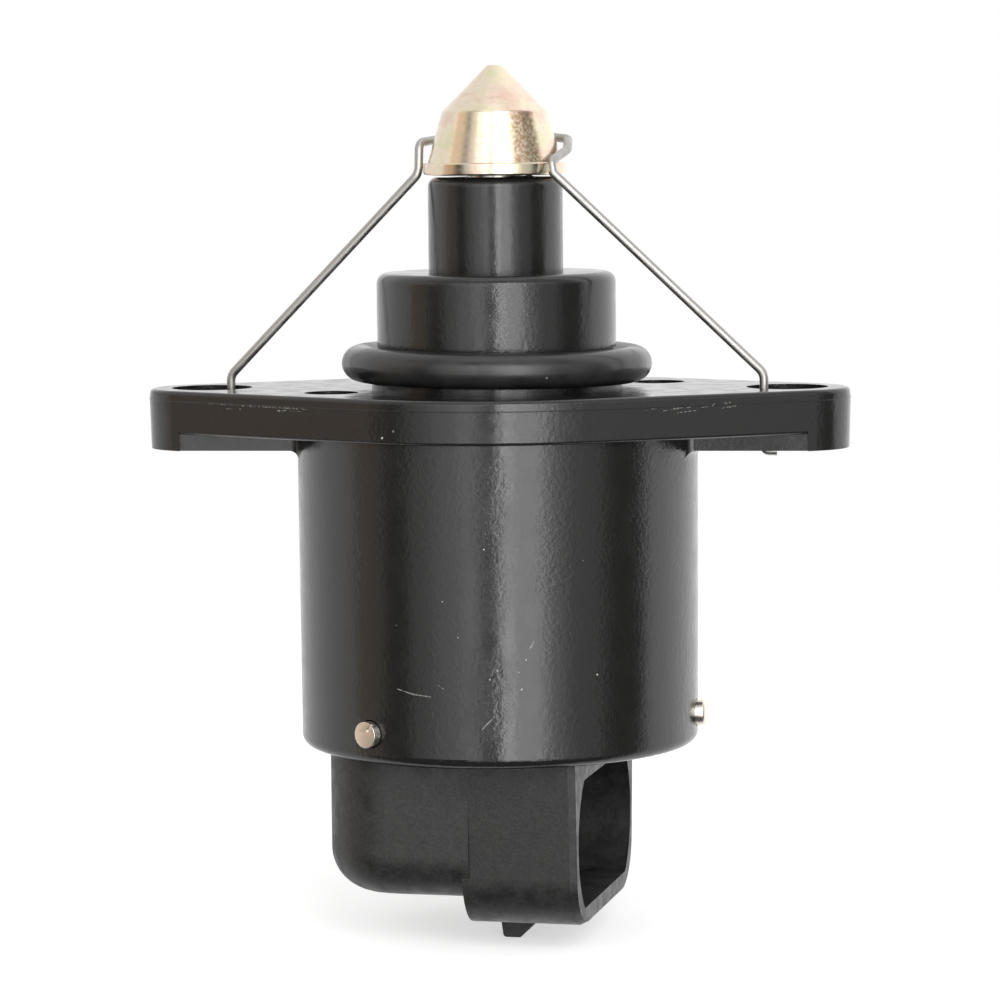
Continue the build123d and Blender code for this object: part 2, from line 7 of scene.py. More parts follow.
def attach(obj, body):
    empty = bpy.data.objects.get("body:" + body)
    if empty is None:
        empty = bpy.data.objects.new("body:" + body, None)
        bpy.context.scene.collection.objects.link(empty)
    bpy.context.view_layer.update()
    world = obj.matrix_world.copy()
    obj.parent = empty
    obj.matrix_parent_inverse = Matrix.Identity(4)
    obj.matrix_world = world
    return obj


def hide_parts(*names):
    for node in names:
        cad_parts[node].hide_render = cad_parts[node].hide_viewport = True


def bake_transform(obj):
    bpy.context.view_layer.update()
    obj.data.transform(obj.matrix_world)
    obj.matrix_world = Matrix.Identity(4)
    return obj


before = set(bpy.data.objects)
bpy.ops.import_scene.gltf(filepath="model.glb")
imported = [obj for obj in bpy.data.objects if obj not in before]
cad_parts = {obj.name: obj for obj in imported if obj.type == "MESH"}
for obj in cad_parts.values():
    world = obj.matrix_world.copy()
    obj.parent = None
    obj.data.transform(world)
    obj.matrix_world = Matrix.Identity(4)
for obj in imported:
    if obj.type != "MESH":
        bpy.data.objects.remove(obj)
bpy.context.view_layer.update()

# Lengths are written in millimetres and turned into metres where a mesh is made.
MM = 0.001

# Sizes and places of the visible pieces, as the CAD has them.
# The flange: its mounting holes, its round middle, its two ears and the mould's parting line.
HOLE_X = 25.0
HOLE_R = 3.5
FLANGE_MID_R = 17.9
EAR_R = 5.43
PARTING_Z = -0.88

# The round body: its radius under the flange, how much narrower its rim is, and its two ends.
BODY_R = 17.3
BODY_TAPER = 0.12
BODY_TOP_Z = -3.7
RIM_Z = -30.7

# The cone, drawn in, with its ring below and the bore for its stem.
CONE_LOW = 18.27
CONE_RIM_R = 6.15
CONE_RIM_TOP = 19.32
CONE_BASE_R = 5.8
CONE_MID_R = 4.5
CONE_MID_Z = 23.72
CONE_TIP_R = 0.55
CONE_TIP_Z = 27.67
STEM_R = 1.52
STEM_TOP = 23.27

# The seal ring, which sits a little askew in its groove.
RING_MID_R = 11.85
RING_SECTION_R = 1.52
RING_Z = 2.114
RING_TILT = 0.6

# The clip's wire, and the spring between the guide bush and the cone.
WIRE_R = 0.38
SPRING_MID_R = 3.05
SPRING_WIRE_R = 0.3
GUIDE_TOP = 12.6

# The cross pins: their outer ends' radius, their height and the first one's angle from +X.
PIN_R = 1.1
PIN_LENGTH = 5.4
PIN_OUT_R = 17.98
PIN_Z = -28.1
PIN_TURN = -2.4

# The floor lies just under the socket's lock ramp.
FLOOR_Z = -47.66

# The photograph's camera: a long lens a little above the flange, a little right of the front.
# Turn, rise and roll are in degrees, and pixels are those of a square picture of IMAGE_PIXELS.
VIEW_TURN = 6.8
VIEW_RISE = 5.43
VIEW_DISTANCE = 345.0
VIEW_ROLL = -0.56
VIEW_AIM_Z = -9.8
VIEW_FOCAL_PIXELS = 3985.0
VIEW_SHIFT_PIXELS = -1.75
IMAGE_PIXELS = 1000.0
SENSOR = 36.0

# Points closer than these, in metres, become one when a shape is closed.
WELD = 0.000002
FINE_WELD = 0.000001


# Modelling helpers


def clear_selection():
    """Leaves edit mode and deselects everything."""
    if bpy.context.mode != "OBJECT":
        bpy.ops.object.mode_set(mode="OBJECT")
    bpy.ops.object.select_all(action="DESELECT")


def pick(piece):
    """Makes one piece the only selected and active one."""
    clear_selection()
    piece.select_set(True)
    bpy.context.view_layer.objects.active = piece


def edit(piece, select="NOTHING"):
    """Opens a piece in edit mode, with all or nothing selected."""
    pick(piece)
    bpy.ops.object.mode_set(mode="EDIT")
    bpy.ops.mesh.select_mode(type="VERT")
    bpy.ops.mesh.select_all(action="SELECT" if select == "ALL" else "DESELECT")


def to_object_mode():
    """Leaves edit mode and keeps the selection."""
    bpy.ops.object.mode_set(mode="OBJECT")


def named(name):
    """Names the new active piece and its mesh."""
    piece = bpy.context.object
    piece.name = name
    piece.data.name = name
    return piece


def place_in_mesh(piece):
    """Puts the piece's place, turn and size into its mesh."""
    pick(piece)
    bpy.ops.object.transform_apply(location=True, rotation=True, scale=True)


def smooth(piece, angle=32.0):
    """Smooth shading that keeps the corners sharper than an angle."""
    pick(piece)
    bpy.ops.object.shade_smooth_by_angle(angle=radians(angle))


def chain(name, points):
    """A line of vertices drawn by extruding one vertex from point to point."""
    clear_selection()
    start = Vector(points[0]) * MM
    bpy.ops.mesh.primitive_plane_add(size=MM, location=start)
    piece = named(name)
    place_in_mesh(piece)
    edit(piece, "ALL")
    bpy.ops.mesh.merge(type="CENTER")
    for before, after in zip(points, points[1:]):
        step = (Vector(after) - Vector(before)) * MM
        bpy.ops.mesh.extrude_region_move(TRANSFORM_OT_translate={"value": step})
    to_object_mode()
    return piece


def rounded(points, rounds, steps=6):
    """Points of a line with corners turned into arcs: rounds maps a corner's number to its radius."""
    result = []
    for number, point in enumerate(points):
        radius = rounds.get(number, 0)
        if not radius:
            result.append(point)
            continue
        here = Vector(point)
        to_before = (Vector(points[number - 1]) - here).normalized()
        to_after = (Vector(points[number + 1]) - here).normalized()
        half = to_before.angle(to_after) / 2
        setback = radius / tan(half)
        centre = here + (to_before + to_after).normalized() * (radius / sin(half))
        first = here + to_before * setback - centre
        last = here + to_after * setback - centre
        for i in range(steps + 1):
            share = i / steps
            swing = pi - 2 * half
            a = sin((1 - share) * swing) / sin(swing)
            b = sin(share * swing) / sin(swing)
            result.append(tuple(centre + first * a + last * b))
    return result


def turned_piece(name, profile, steps=160):
    """A piece turned round Z from (radius, height) points."""
    piece = chain(name, [(r, 0, z) for r, z in profile])
    edit(piece, "ALL")
    bpy.ops.mesh.spin(steps=steps, angle=2 * pi, center=(0, 0, 0), axis=(0, 0, 1))
    bpy.ops.mesh.select_all(action="SELECT")
    bpy.ops.mesh.remove_doubles(threshold=WELD)
    bpy.ops.mesh.normals_make_consistent(inside=False)
    to_object_mode()
    return piece


def wire_piece(name, points, radius, closed=False, sides=8):
    """A round wire along points."""
    piece = chain(name, points)
    if closed:
        edit(piece, "ALL")
        bpy.ops.mesh.remove_doubles(threshold=WELD)
        to_object_mode()
    pick(piece)
    bpy.ops.object.convert(target="CURVE")
    curve = bpy.context.object.data
    curve.bevel_depth = radius * MM
    curve.bevel_resolution = sides
    curve.use_fill_caps = not closed
    bpy.ops.object.convert(target="MESH")
    piece = named(name)
    edit(piece, "ALL")
    bpy.ops.mesh.remove_doubles(threshold=FINE_WELD)
    bpy.ops.mesh.normals_make_consistent(inside=False)
    to_object_mode()
    return piece


def polar(radius, angle, height):
    """Point at a radius, an angle from +X and a height."""
    return (radius * cos(radians(angle)), radius * sin(radians(angle)), height)


# Shader groups


def new_group(name, inputs, outputs):
    """An empty shader group: inputs are (name, socket type, value), outputs are (name, socket type)."""
    group = bpy.data.node_groups.new(name, "ShaderNodeTree")
    for label, kind, value in inputs:
        socket = group.interface.new_socket(label, in_out="INPUT", socket_type=kind)
        if value is not None:
            socket.default_value = value
    for label, kind in outputs:
        group.interface.new_socket(label, in_out="OUTPUT", socket_type=kind)
    return group


class Desk:
    """Places and links nodes in a tree."""

    def __init__(self, tree):
        self.tree = tree
        self.column = 0

    def node(self, kind, links=None, values=None, **settings):
        """A node with its settings, its sockets' values and the links that feed it."""
        made = self.tree.nodes.new(kind)
        made.location = (self.column, 0)
        self.column += 180
        for key, value in settings.items():
            setattr(made, key, value)
        for key, value in (values or {}).items():
            made.inputs[key].default_value = value
        for key, source in (links or {}).items():
            self.tree.links.new(source, made.inputs[key])
        return made

    def math(self, operation, a, b=None, clamp=False):
        """A Math node on numbers or sockets."""
        made = self.node("ShaderNodeMath", operation=operation, use_clamp=clamp)
        for slot, value in enumerate((a, b)):
            if value is None:
                continue
            if isinstance(value, (int, float)):
                made.inputs[slot].default_value = value
            else:
                self.tree.links.new(value, made.inputs[slot])
        return made.outputs[0]

    def times(self, a, b):
        """One number or socket times another."""
        return self.math("MULTIPLY", a, b)

    def axis(self, vector, letter):
        """One component of a vector."""
        return self.node("ShaderNodeSeparateXYZ", {0: vector}).outputs[letter]

    def vector(self, operation, a, b=None, output=0, scale=None):
        """A Vector Math node on tuples or sockets; output 1 is a plain number."""
        made = self.node("ShaderNodeVectorMath", operation=operation)
        for slot, value in enumerate((a, b)):
            if value is None:
                continue
            if isinstance(value, (tuple, list)):
                made.inputs[slot].default_value = value
            else:
                self.tree.links.new(value, made.inputs[slot])
        if scale is not None:
            self.tree.links.new(scale, made.inputs["Scale"])
        return made.outputs[output]

    def smoothstep(self, value, low, high, start=0.0, end=1.0):
        """Eases from start to end while a value goes from low to high."""
        made = self.node("ShaderNodeMapRange", interpolation_type="SMOOTHSTEP")
        self.tree.links.new(value, made.inputs["Value"])
        for key, number in (("From Min", low), ("From Max", high), ("To Min", start), ("To Max", end)):
            if isinstance(number, (int, float)):
                made.inputs[key].default_value = number
            else:
                self.tree.links.new(number, made.inputs[key])
        return made.outputs["Result"]

    def mix(self, share, a, b):
        """Mixes two colours by a share, each a number, a tuple or a socket."""
        made = self.node("ShaderNodeMix", data_type="RGBA")
        for key, value in ((0, share), (6, a), (7, b)):
            if isinstance(value, (int, float)):
                made.inputs[key].default_value = value
            elif isinstance(value, (tuple, list)):
                made.inputs[key].default_value = (*value[:3], 1.0)
            else:
                self.tree.links.new(value, made.inputs[key])
        return made.outputs[2]

    def noise(self, place, scale, detail=2.0, roughness=0.5):
        """Plain noise from 0 to 1 at a place."""
        values = {"Detail": detail, "Roughness": roughness}
        made = self.node("ShaderNodeTexNoise", {"Vector": place}, values)
        if isinstance(scale, (int, float)):
            made.inputs["Scale"].default_value = scale
        else:
            self.tree.links.new(scale, made.inputs["Scale"])
        return made.outputs["Fac"]


def group_desk(group):
    """The desk of a group with its input and output nodes."""
    desk = Desk(group)
    return desk, desk.node("NodeGroupInput").outputs, desk.node("NodeGroupOutput").inputs


def make_scratch_group():
    """A thin mark from one point to another, given in metres."""
    group = new_group(
        "thin_mark",
        [
            ("Place", "NodeSocketVector", None),
            ("Start", "NodeSocketVector", None),
            ("End", "NodeSocketVector", None),
            ("Width", "NodeSocketFloat", 0.0001),
            ("Breaks", "NodeSocketFloat", 0.4),
        ],
        [("Mask", "NodeSocketFloat")],
    )
    desk, given, result = group_desk(group)
    along = desk.vector("SUBTRACT", given["End"], given["Start"])
    away = desk.vector("SUBTRACT", given["Place"], given["Start"])
    top = desk.vector("DOT_PRODUCT", away, along, output=1)
    bottom = desk.vector("DOT_PRODUCT", along, along, output=1)
    share = desk.math("DIVIDE", top, bottom, clamp=True)
    nearest = desk.vector("SCALE", along, scale=share)
    off_line = desk.vector("SUBTRACT", away, nearest)
    distance = desk.vector("LENGTH", off_line, output=1)
    wander = desk.noise(given["Place"], 2600.0)
    spread = desk.times(desk.math("ADD", wander, 0.55), given["Width"])
    edge = desk.math("DIVIDE", distance, spread)
    solid = desk.smoothstep(edge, 0.5, 1.0, 1.0, 0.0)
    gaps = desk.smoothstep(desk.noise(given["Place"], 5200.0), given["Breaks"], 0.75)
    desk.tree.links.new(desk.times(solid, gaps), result["Mask"])
    return group


def make_speck_group():
    """Sparse small specks, such as dust or pinholes."""
    group = new_group(
        "sparse_specks",
        [
            ("Place", "NodeSocketVector", None),
            ("Scale", "NodeSocketFloat", 400.0),
            ("Size", "NodeSocketFloat", 0.1),
            ("Rarity", "NodeSocketFloat", 0.62),
        ],
        [("Mask", "NodeSocketFloat")],
    )
    desk, given, result = group_desk(group)
    cells = desk.node("ShaderNodeTexVoronoi", {"Vector": given["Place"], "Scale": given["Scale"]})
    dots = desk.smoothstep(cells.outputs["Distance"], 0.0, given["Size"], 1.0, 0.0)
    draw = desk.node("ShaderNodeSeparateColor", {0: cells.outputs["Color"]}).outputs[0]
    chosen = desk.math("GREATER_THAN", draw, given["Rarity"])
    desk.tree.links.new(desk.times(dots, chosen), result["Mask"])
    return group


def make_grain_group():
    """Height of a fine moulded or rolled grain."""
    group = new_group(
        "moulded_grain",
        [
            ("Place", "NodeSocketVector", None),
            ("Scale", "NodeSocketFloat", 3000.0),
            ("Coarse Share", "NodeSocketFloat", 0.3),
        ],
        [("Height", "NodeSocketFloat"), ("Tone", "NodeSocketFloat")],
    )
    desk, given, result = group_desk(group)
    fine = desk.noise(given["Place"], given["Scale"], 3.0, 0.6)
    coarse = desk.noise(given["Place"], desk.times(given["Scale"], 0.22), 2.0, 0.5)
    both = desk.node("ShaderNodeMix", {0: given["Coarse Share"], 2: fine, 3: coarse})
    desk.tree.links.new(both.outputs[0], result["Height"])
    desk.tree.links.new(desk.smoothstep(coarse, 0.3, 0.7), result["Tone"])
    return group


def make_turning_group():
    """Fine rings left by a lathe, across Z."""
    group = new_group(
        "turning_rings",
        [
            ("Place", "NodeSocketVector", None),
            ("Rings", "NodeSocketFloat", 12000.0),
        ],
        [("Height", "NodeSocketFloat"), ("Tone", "NodeSocketFloat")],
    )
    desk, given, result = group_desk(group)
    height = desk.times(desk.axis(given["Place"], "Z"), given["Rings"])
    line = desk.node("ShaderNodeCombineXYZ", {"Z": height}).outputs[0]
    fine = desk.noise(line, 1.0, 3.0, 0.7)
    broad = desk.noise(line, 0.12, 1.0, 0.5)
    desk.tree.links.new(fine, result["Height"])
    desk.tree.links.new(broad, result["Tone"])
    return group


# The zinc coat's own colour, and its cloud colours with their places in the clouds' noise.
ZINC_CREAM = (0.75, 0.66, 0.52)
ZINC_CLOUDS = (
    (0.34, (0.70, 0.46, 0.38)),
    (0.43, (0.74, 0.56, 0.46)),
    (0.50, (0.76, 0.66, 0.52)),
    (0.58, (0.72, 0.66, 0.45)),
    (0.68, (0.62, 0.62, 0.38)),
)


def make_plating_group():
    """Colours of a yellow zinc coat: cream with faint pink, green and straw clouds."""
    group = new_group(
        "zinc_coat_colours",
        [
            ("Place", "NodeSocketVector", None),
            ("Cloud Scale", "NodeSocketFloat", 260.0),
            ("Strength", "NodeSocketFloat", 0.6),
        ],
        [("Color", "NodeSocketColor")],
    )
    desk, given, result = group_desk(group)
    bent = desk.node("ShaderNodeMapping", {"Vector": given["Place"]}, {"Scale": (1.0, 1.0, 1.5)})
    cloud = desk.noise(bent.outputs[0], given["Cloud Scale"], 4.0, 0.62)
    ramp = desk.node("ShaderNodeValToRGB", {0: cloud})
    stops = ramp.color_ramp.elements
    for stop, (position, color) in zip(stops, (ZINC_CLOUDS[0], ZINC_CLOUDS[-1])):
        stop.position = position
        stop.color = (*color, 1.0)
    for position, color in ZINC_CLOUDS[1:-1]:
        stops.new(position).color = (*color, 1.0)
    tinted = desk.mix(given["Strength"], ZINC_CREAM, ramp.outputs[0])
    desk.tree.links.new(tinted, result["Color"])
    return group


THIN_MARK = make_scratch_group()
SPECKS = make_speck_group()
GRAIN = make_grain_group()
TURNING = make_turning_group()
ZINC_COAT = make_plating_group()


class Finish(Desk):
    """A material with one Principled shader and helpers for the groups."""

    def __init__(self, name, color, roughness, metallic=0.0):
        self.material = bpy.data.materials.new(name)
        self.material.use_nodes = True
        self.material.node_tree.nodes.clear()
        super().__init__(self.material.node_tree)
        self.place = self.node("ShaderNodeTexCoord").outputs["Object"]
        self.shader = self.node("ShaderNodeBsdfPrincipled")
        self.shader.inputs["Base Color"].default_value = (*color, 1.0)
        self.shader.inputs["Roughness"].default_value = roughness
        self.shader.inputs["Metallic"].default_value = metallic
        self.node("ShaderNodeOutputMaterial", {"Surface": self.shader.outputs[0]})

    def set(self, **values):
        """Sets the shader's own sockets; an underscore stands for a space."""
        for key, value in values.items():
            self.shader.inputs[key.replace("_", " ")].default_value = value

    def feed(self, key, source):
        """Links a socket into the shader."""
        self.tree.links.new(source, self.shader.inputs[key])

    def group(self, tree, **values):
        """A shader group at the shaded point, with its own values."""
        made = self.node("ShaderNodeGroup", node_tree=tree)
        for key, value in values.items():
            made.inputs[key.replace("_", " ")].default_value = value
        self.tree.links.new(self.place, made.inputs["Place"])
        return made.outputs

    def mark(self, start, end, width, breaks=0.4):
        """Mask of a thin mark between two points in millimetres."""
        return self.group(
            THIN_MARK,
            Start=tuple(v * MM for v in start),
            End=tuple(v * MM for v in end),
            Width=width * MM,
            Breaks=breaks,
        )["Mask"]

    def dot(self, centre, size):
        """Mask of a small round chip at a point in millimetres."""
        end = (centre[0] + 0.03, centre[1], centre[2] + 0.03)
        return self.mark(centre, end, size, -1.0)

    def bump(self, height, depth, strength=1.0, under=None):
        """Bumps of a depth in millimetres, over another bump if one is given."""
        links = {"Height": height}
        values = {"Distance": depth * MM}
        if under is not None:
            links["Normal"] = under
        if isinstance(strength, (int, float)):
            values["Strength"] = strength
        else:
            links["Strength"] = strength
        return self.node("ShaderNodeBump", links, values).outputs[0]

    def most(self, masks):
        """The strongest of several masks."""
        result = masks[0]
        for mask in masks[1:]:
            result = self.math("MAXIMUM", result, mask)
        return result


# Finishes

HOUSING_COLOR = (0.011, 0.011, 0.0105)
SCRATCH_COLOR = (0.46, 0.45, 0.43)
STAIN_COLOR = (0.36, 0.23, 0.11)
# The colour of a painted darker pink reflection on the cone's skirt.
PAINTED_REFLECTION_COLOR = (0.52, 0.38, 0.30)

# Where the cone's skirt is stained, and where a darker pink reflection is painted on it, in degrees
# from -Y towards +X.
STAIN_AZIMUTH = 37.0
PAINTED_REFLECTION_AZIMUTH = -23.0


def body_point(azimuth, height, radius=None):
    """Point on the round body, which tapers a little, at an azimuth from -Y towards +X."""
    if radius is None:
        radius = BODY_R - BODY_TAPER * (height - BODY_TOP_Z) / (RIM_Z - BODY_TOP_Z)
    return (radius * sin(radians(azimuth)), -radius * cos(radians(azimuth)), height)


FLANGE_LEAN = asin((FLANGE_MID_R - EAR_R) / HOLE_X)


def flange_point(side, height):
    """Point on the flange's front faces, left or right of the middle."""
    start = FLANGE_MID_R * sin(FLANGE_LEAN)
    depth = FLANGE_MID_R * cos(FLANGE_LEAN) - (abs(side) - start) * tan(FLANGE_LEAN)
    return (side, -depth, height)


# Scratches on the body: the two ends, each as azimuth and height, and the width.
BODY_SCRATCHES = [
    ((-23.0, -24.09), (-18.0, -24.46), 0.055),
    ((-18.0, -24.46), (-12.9, -24.6), 0.06),
    ((1.6, -27.26), (5.1, -26.18), 0.05),
    ((15.1, -20.56), (16.1, -19.99), 0.09),
    ((-10.6, -23.6), (-9.0, -23.9), 0.03),
]

# Chips on the body: azimuth, height and size.
BODY_DOTS = [
    (6.1, -22.34, 0.07),
    (4.0, -23.09, 0.05),
    (12.7, -23.93, 0.085),
    (12.0, -22.51, 0.05),
    (14.0, -21.47, 0.06),
    (34.8, -23.02, 0.08),
    (2.7, -12.27, 0.065),
    (-23.1, -18.77, 0.045),
    (-9.1, -16.64, 0.05),
    (30.6, -13.4, 0.035),
    (-4.8, -19.6, 0.035),
]

# Scuffs along the flange's parting line: side and height of both ends, and the width.
FLANGE_SCUFFS = [
    (-24.0, -0.92, -21.5, -0.94, 0.05),
    (-21.2, -0.94, -19.0, -0.97, 0.07),
    (-18.8, -0.95, -16.9, -1.0, 0.085),
    (-16.8, -1.0, -14.6, -1.02, 0.07),
    (-17.5, -1.28, -16.5, -1.2, 0.06),
    (-16.2, -1.22, -15.2, -1.25, 0.05),
    (-22.3, -1.3, -20.9, -1.25, 0.035),
    (13.8, -1.08, 14.7, -1.02, 0.075),
    (15.2, -1.22, 16.4, -1.12, 0.04),
    (16.1, -1.05, 17.7, -1.0, 0.05),
    (16.4, -1.42, 17.9, -1.3, 0.045),
    (18.0, -1.12, 18.9, -1.0, 0.04),
    (19.2, -0.98, 19.35, -0.8, 0.06),
    (20.2, -0.8, 20.6, -0.74, 0.1),
    (19.9, -1.2, 21.5, -1.0, 0.05),
]

# One larger chip on the front of the flange, left of the middle.
FLANGE_CHIP = (-25.6, -3.15, FLANGE_MID_R - 0.03)
FLANGE_CHIP_SIZE = 0.1


def make_housing_black():
    """Semi-gloss moulded black with orange peel, a scuffed parting line, scratches and specks."""
    finish = Finish("housing_moulded_black", HOUSING_COLOR, 0.17)
    sink = finish.group(GRAIN, Scale=420.0, Coarse_Share=0.7)
    peel = finish.group(GRAIN, Scale=2500.0, Coarse_Share=0.35)
    fine = finish.group(GRAIN, Scale=7000.0, Coarse_Share=0.3)
    lines = [
        finish.mark(body_point(*start), body_point(*end), width, 0.25)
        for start, end, width in BODY_SCRATCHES
    ]
    dots = [finish.dot(body_point(azimuth, height), size) for azimuth, height, size in BODY_DOTS]
    dots.append(finish.dot(body_point(*FLANGE_CHIP), FLANGE_CHIP_SIZE))
    scuffs = [
        finish.mark(flange_point(first, low), flange_point(last, high), width, 0.42)
        for first, low, last, high, width in FLANGE_SCUFFS
    ]
    specks = finish.group(SPECKS, Scale=300.0, Size=0.05, Rarity=0.86)["Mask"]
    rubbed = finish.times(finish.most(scuffs), 0.5)
    scratches = [finish.times(finish.most(lines), 0.6), *dots]
    pale = finish.most([rubbed, *scratches, finish.times(specks, 0.5)])
    finish.feed("Base Color", finish.mix(pale, HOUSING_COLOR, SCRATCH_COLOR))
    gloss = finish.smoothstep(peel["Tone"], 0.0, 1.0, 0.15, 0.21)
    finish.feed("Roughness", finish.math("ADD", gloss, finish.times(pale, 0.35)))
    rise = finish.axis(finish.node("ShaderNodeNewGeometry").outputs["Normal"], "Z")
    upright = finish.smoothstep(finish.math("ABSOLUTE", rise), 0.5, 0.95, 1.0, 0.12)
    patches = finish.smoothstep(finish.noise(finish.place, 150.0, 2.0), 0.35, 0.65, 0.45, 1.0)
    waves = finish.bump(sink["Height"], 0.03, finish.times(upright, 0.5))
    peeled = finish.bump(peel["Height"], 0.05, finish.times(upright, patches), waves)
    grained = finish.bump(fine["Height"], 0.010, finish.times(upright, 0.6), peeled)
    finish.feed("Normal", grained)
    return finish.material


def make_cap_black():
    """Matt moulded black with a fine eroded texture."""
    finish = Finish("cap_textured_black", (0.02, 0.02, 0.0195), 0.5)
    coarse = finish.group(GRAIN, Scale=3600.0, Coarse_Share=0.3)
    fine = finish.group(GRAIN, Scale=9000.0, Coarse_Share=0.1)
    tone = finish.smoothstep(coarse["Height"], 0.35, 0.65)
    specks = finish.group(SPECKS, Scale=420.0, Size=0.06, Rarity=0.86)["Mask"]
    marks = [
        finish.mark((6.9, -9.6, -44.6), (8.2, -9.2, -43.4), 0.09, 0.3),
        finish.mark((-10.5, -8.0, -42.6), (-8.5, -8.0, -42.9), 0.09, 0.45),
    ]
    pale = finish.most([finish.times(specks, 0.5), *marks])
    base = finish.mix(tone, (0.0105, 0.0105, 0.0102), (0.022, 0.022, 0.0213))
    finish.feed("Base Color", finish.mix(pale, base, (0.36, 0.36, 0.35)))
    finish.feed("Roughness", finish.smoothstep(coarse["Tone"], 0.0, 1.0, 0.42, 0.54))
    first = finish.bump(coarse["Height"], 0.03, 0.5)
    finish.feed("Normal", finish.bump(fine["Height"], 0.006, 0.4, first))
    return finish.material


def make_rubber():
    """Smooth black rubber with a thin bloom and a few specks."""
    finish = Finish("ring_rubber", (0.014, 0.014, 0.014), 0.27)
    film = finish.group(GRAIN, Scale=1400.0, Coarse_Share=0.6)
    specks = finish.group(SPECKS, Scale=520.0, Size=0.075, Rarity=0.84)["Mask"]
    bloom = finish.mix(film["Tone"], (0.012, 0.012, 0.012), (0.018, 0.018, 0.0175))
    finish.feed("Base Color", finish.mix(specks, bloom, (0.3, 0.3, 0.3)))
    finish.feed("Roughness", finish.smoothstep(film["Tone"], 0.0, 1.0, 0.22, 0.36))
    finish.feed("Normal", finish.bump(film["Height"], 0.006, 0.4))
    return finish.material


def side_mask(finish, azimuth, low, high):
    """Mask of the stretch of a round piece that faces an azimuth."""
    outward = finish.vector("NORMALIZE", finish.vector("MULTIPLY", finish.place, (1.0, 1.0, 0.0)))
    toward = (sin(radians(azimuth)), -cos(radians(azimuth)), 0.0)
    return finish.smoothstep(finish.vector("DOT_PRODUCT", outward, toward, output=1), low, high)


def make_zinc_steel():
    """Turned steel with a yellow zinc coat, stained on one side of the skirt, with a darker pink
    reflection painted on the other.
    """
    finish = Finish("cone_yellow_zinc", ZINC_CREAM, 0.2, metallic=1.0)
    coat = finish.group(ZINC_COAT, Cloud_Scale=300.0, Strength=0.62)
    rings = finish.group(TURNING, Rings=14000.0)
    spots = finish.smoothstep(finish.noise(finish.place, 2400.0, 4.0, 0.75), 0.56, 0.70)
    height = finish.axis(finish.place, "Z")
    under = finish.smoothstep(height, (CONE_MID_Z - 0.2) * MM, CONE_MID_Z * MM, 1.0, 0.0)
    over = finish.math("GREATER_THAN", height, (CONE_RIM_TOP + 0.05) * MM)
    skirt = finish.times(under, over)
    spotted = finish.mix(finish.times(spots, 0.3), coat["Color"], (0.45, 0.30, 0.17))
    # A darker pink reflection is painted on one side of the skirt.
    tint = finish.times(side_mask(finish, PAINTED_REFLECTION_AZIMUTH, 0.965, 0.99), finish.times(skirt, 0.42))
    with_painted_reflection = finish.mix(tint, spotted, PAINTED_REFLECTION_COLOR)
    flecks = finish.smoothstep(finish.noise(finish.place, 3600.0, 3.0, 0.65), 0.30, 0.66)
    stained = finish.times(side_mask(finish, STAIN_AZIMUTH, 0.95, 0.99), skirt)
    stain = finish.times(stained, finish.times(flecks, 0.9))
    finish.feed("Base Color", finish.mix(stain, with_painted_reflection, STAIN_COLOR))
    finish.feed("Roughness", finish.smoothstep(rings["Tone"], 0.3, 0.7, 0.17, 0.25))
    first = finish.bump(rings["Height"], 0.0007, 0.4)
    grain = finish.noise(finish.place, 5200.0, 3.0, 0.6)
    finish.feed("Normal", finish.bump(grain, 0.003, 0.35, first))
    return finish.material


def make_metal(name, color, roughness, grain_scale, depth, rings=0.0, tint=None, spot=0.45):
    """A metal with grain, a varied gloss, darker spots and, where it was turned, fine rings."""
    finish = Finish(name, color, roughness, metallic=1.0)
    grain = finish.group(GRAIN, Scale=grain_scale, Coarse_Share=0.4)
    spots = finish.smoothstep(finish.noise(finish.place, grain_scale * 0.6, 4.0, 0.7), 0.58, 0.74)
    dark = tint or tuple(0.45 * c for c in color)
    finish.feed("Base Color", finish.mix(finish.times(spots, spot), color, dark))
    gloss = finish.smoothstep(grain["Tone"], 0.0, 1.0, roughness * 0.85, roughness * 1.25)
    finish.feed("Roughness", gloss)
    normal = finish.bump(grain["Height"], depth, 0.5)
    if rings:
        turned = finish.group(TURNING, Rings=rings)
        normal = finish.bump(turned["Height"], depth, 0.5, normal)
    finish.feed("Normal", normal)
    return finish.material


def make_nylon():
    """Natural nylon, cream with a soft cloud."""
    finish = Finish("bobbin_natural_nylon", (0.62, 0.57, 0.44), 0.42)
    grain = finish.group(GRAIN, Scale=2200.0, Coarse_Share=0.5)
    finish.feed("Base Color", finish.mix(grain["Tone"], (0.58, 0.53, 0.40), (0.66, 0.61, 0.49)))
    finish.feed("Roughness", finish.smoothstep(grain["Tone"], 0.0, 1.0, 0.36, 0.5))
    finish.feed("Normal", finish.bump(grain["Height"], 0.01, 0.4))
    finish.set(Subsurface_Weight=0.1, Subsurface_Scale=0.001)
    return finish.material


# Height of one turn of the coils' wire.
COIL_LAYER = 0.16


def make_winding():
    """Enamelled copper wire wound in even layers."""
    finish = Finish("coil_enamelled_wire", (0.55, 0.22, 0.09), 0.3, metallic=1.0)
    height = finish.axis(finish.place, "Z")
    turns = finish.math("SINE", finish.times(height, 2 * pi / (COIL_LAYER * MM)))
    grain = finish.group(GRAIN, Scale=900.0, Coarse_Share=0.5)
    finish.feed("Base Color", finish.mix(grain["Tone"], (0.45, 0.16, 0.06), (0.66, 0.29, 0.12)))
    finish.feed("Roughness", finish.smoothstep(grain["Tone"], 0.0, 1.0, 0.24, 0.38))
    finish.feed("Normal", finish.bump(turns, 0.04, 0.7))
    return finish.material


